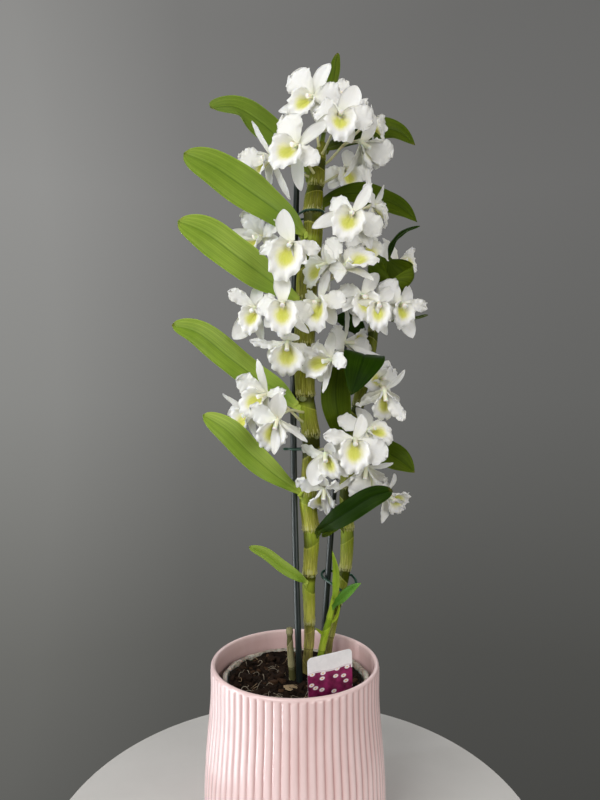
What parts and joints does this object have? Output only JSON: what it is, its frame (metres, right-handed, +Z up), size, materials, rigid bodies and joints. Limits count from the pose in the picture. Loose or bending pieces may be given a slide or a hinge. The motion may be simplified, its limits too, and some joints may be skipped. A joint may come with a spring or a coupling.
{
  "type": "dendrobium orchid",
  "caption": "Potted dendrobium orchid: upright jointed canes tied to stakes, strap leaves and clustered white flowers, in a ribbed pink ceramic cover pot.",
  "frame": {"origin": "centre of the cover pot's flat foot, on the surface it stands on", "axes": "+Z up along the pot's axis; -Y is the front, from which most of the flowers are seen; +X to the viewer's right"},
  "size_m": [0.2177, 0.1498, 0.6631],
  "materials": {
    "glazed_ceramic": "glossy pale pink glaze over ribbed ceramic",
    "pale_plastic": "thin translucent nursery pot",
    "bark_mix": "loose dark bark and coir",
    "cane": "satin olive green, papery sheaths",
    "young_green": "satin lime green",
    "dry_cane": "dry, matt",
    "stake": "dark green coating",
    "clip": "dark green coating on wire",
    "label": "satin white card with a coloured lower part",
    "leaf_left": "satin mid green",
    "leaf_right": "satin dark green",
    "petal": "soft white"
  },
  "bodies": {
    "root": {"clip_middle": "clip", "clip_rear": "clip", "clip_top": "clip", "cover_pot": "glazed_ceramic", "flower_02": "petal", "flower_04": "petal", "flower_05": "petal", "flower_08": "petal", "flower_09": "petal", "flower_10": "petal", "flower_11": "petal", "flower_14": "petal", "flower_19": "petal", "flower_22": "petal", "flower_23": "petal", "flower_24": "petal", "flower_25": "petal", "flower_28": "petal", "flower_33": "petal", "flower_37": "petal", "flowers_01_03": "petal", "flowers_06_07": "petal", "flowers_12_13": "petal", "flowers_15_16": "petal", "flowers_17_18": "petal", "flowers_20_21": "petal", "flowers_26_27": "petal", "flowers_29_30": "petal", "flowers_31_32": "petal", "flowers_34_36": "petal", "front_cane": "cane", "growing_medium": "bark_mix", "leaf_01_top": "leaf_left", "leaf_02_upper_left": "leaf_left", "leaf_03_left": "leaf_left", "leaf_04_left": "leaf_left", "leaf_05_left": "leaf_left", "leaf_06_left": "leaf_left", "leaf_07_low_left": "leaf_left", "leaf_08_upper_right": "leaf_right", "leaf_09_right": "leaf_right", "leaf_10_thin_right": "leaf_right", "leaf_11_folded_right": "leaf_right", "leaf_12_behind_right": "leaf_right", "leaf_13_dark_folded": "leaf_right", "leaf_14_centre": "leaf_right", "leaf_15_right": "leaf_right", "leaf_16_low_right": "leaf_right", "leaf_17_rear_small": "leaf_right", "leaf_18_behind": "leaf_right", "nursery_pot": "pale_plastic", "old_cane_stub": "dry_cane", "plant_label": "label", "rear_cane": "cane", "shoot_leaf_right": "young_green", "shoot_leaf_upright": "young_green", "stake_left": "stake", "stake_right": "stake", "young_shoot": "young_green"}
  },
  "joints": []
}
